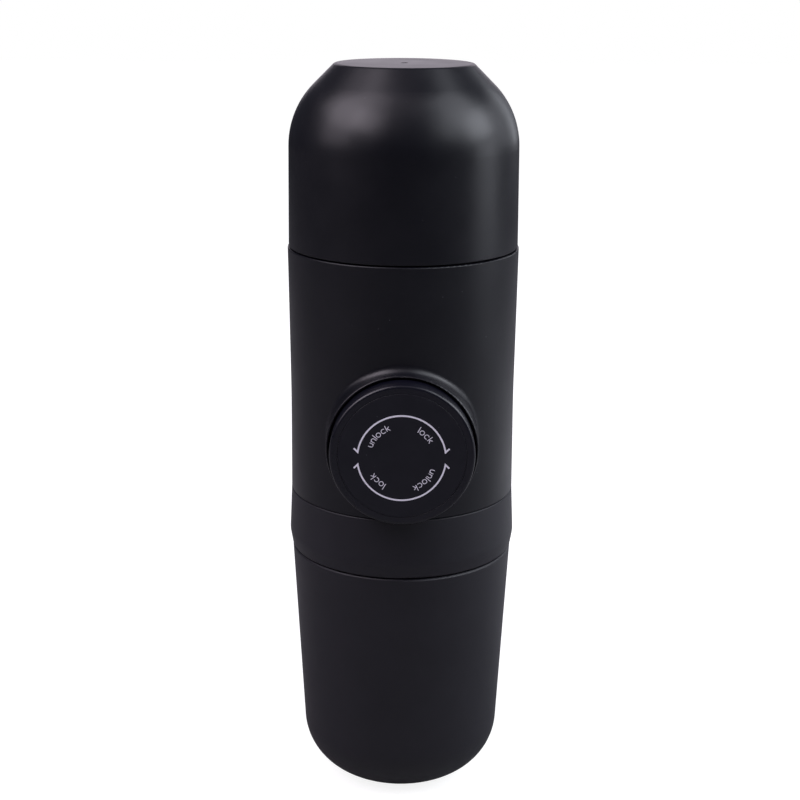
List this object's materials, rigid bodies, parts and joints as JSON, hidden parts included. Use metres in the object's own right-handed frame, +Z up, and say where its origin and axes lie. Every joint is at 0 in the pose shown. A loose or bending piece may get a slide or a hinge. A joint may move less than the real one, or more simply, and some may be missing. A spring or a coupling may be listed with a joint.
{
  "type": "handheld manual espresso maker",
  "caption": "Upright capsule-shaped hand pump espresso maker with a domed cup on top, a front piston knob, a grip ring and a screw-on water tank it stands on.",
  "frame": {"origin": "centre of the flat foot under the water tank", "axes": "+Z up along the maker's long axis, the piston knob faces -Y, +X to the right seen from the front"},
  "size_m": [0.0668, 0.0751, 0.215],
  "materials": {
    "satin_black": "satin black moulded plastic",
    "matte_black": "matte black moulded plastic with a fine texture",
    "knob_black": "satin black moulded plastic",
    "knob_face": "satin black with white printed turn marks",
    "dark_plastic": "black polypropylene",
    "grey_plastic": "grey moulded plastic",
    "seal_rubber": "food-safe silicone rubber",
    "steel": "stainless steel",
    "spring_steel": "bright spring steel",
    "brass": "turned brass",
    "clear_tube": "milky tube"
  },
  "bodies": {
    "main_body": {"body_shell": "satin_black", "grip_ring": "matte_black", "brew_chamber": "dark_plastic", "cup_o_ring": "seal_rubber", "shower_screen": "steel", "shower_screw": "steel", "chamber_gasket": "seal_rubber", "piston_spring": "spring_steel", "cylinder_cover": "grey_plastic", "stop_ring": "steel", "rod_seal": "seal_rubber", "cover_screws": "steel", "cylinder_liner": "steel", "pump_housing": "grey_plastic", "inlet_valve_seat": "brass", "inlet_spring": "spring_steel", "delivery_spring": "spring_steel", "delivery_plug": "brass", "base_plate": "grey_plastic", "vent_valve": "seal_rubber", "tie_screws": "steel", "intake_tube": "clear_tube", "intake_strainer": "dark_plastic"},
    "cup": {"cup": "satin_black"},
    "basket": {"filter_basket": "steel", "scoop": "dark_plastic"},
    "outlet_head": {"outlet_head": "dark_plastic", "head_gasket": "seal_rubber", "outlet_spout": "steel"},
    "outlet_cap": {"outlet_cap": "dark_plastic"},
    "tank_seal": {"tank_gasket": "seal_rubber"},
    "tank": {"water_tank": "matte_black"},
    "piston": {"piston_head": "dark_plastic", "piston_seals": "seal_rubber"},
    "knob": {"knob_cap": "knob_black", "knob_face_disc": "knob_face", "knob_screw": "steel", "piston_rod": "steel", "rod_clip": "spring_steel"},
    "inlet_ball": {"inlet_ball": "steel"},
    "delivery_ball": {"delivery_ball": "steel"}
  },
  "joints": [
    {"name": "cup_lift", "type": "slide", "parent": "main_body", "child": "cup", "axis": [0, 0, 1], "range_m": [0, 0.045]},
    {"name": "basket_lift", "type": "slide", "parent": "main_body", "child": "basket", "axis": [0, 0, 1], "range_m": [0, 0.0197]},
    {"name": "head_turn", "type": "hinge", "parent": "basket", "child": "outlet_head", "pos_m": [0, 0, 0.172], "axis": [0, 0, 1], "range_deg": [0, 589.5]},
    {"name": "cap_lift", "type": "slide", "parent": "outlet_head", "child": "outlet_cap", "axis": [0, 0, 1], "range_m": [0, 0.0065]},
    {"name": "tank_drop", "type": "slide", "parent": "main_body", "child": "tank_seal", "axis": [0, 0, -1], "range_m": [0, 0.0817]},
    {"name": "tank_turn", "type": "hinge", "parent": "tank_seal", "child": "tank", "pos_m": [0, 0, 0.08], "axis": [0, 0, -1], "range_deg": [0, 1836]},
    {"name": "piston_slide", "type": "slide", "parent": "main_body", "child": "piston", "axis": [0, -1, 0], "range_m": [0, 0.015], "deforming": ["piston_spring"]},
    {"name": "knob_twist", "type": "hinge", "parent": "piston", "child": "knob", "pos_m": [0, -0.03, 0.1138], "axis": [0, -1, 0], "range_deg": [0, 45]},
    {"name": "inlet_ball_lift", "type": "slide", "parent": "main_body", "child": "inlet_ball", "axis": [0, 0, 1], "range_m": [0, 0.0012], "stiffness_N_per_m": 30, "springref_m": -0.002, "deforming": ["inlet_spring"]},
    {"name": "delivery_ball_lift", "type": "slide", "parent": "main_body", "child": "delivery_ball", "axis": [0, 0, 1], "range_m": [0, 0.0012], "stiffness_N_per_m": 30, "springref_m": -0.002, "deforming": ["delivery_spring"]}
  ],
  "couplings": [
    {"joint": "basket_lift", "follows": "head_turn", "m_per_rad": 0.0019099},
    {"joint": "tank_drop", "follows": "tank_turn", "m_per_rad": 0.0025465}
  ]
}
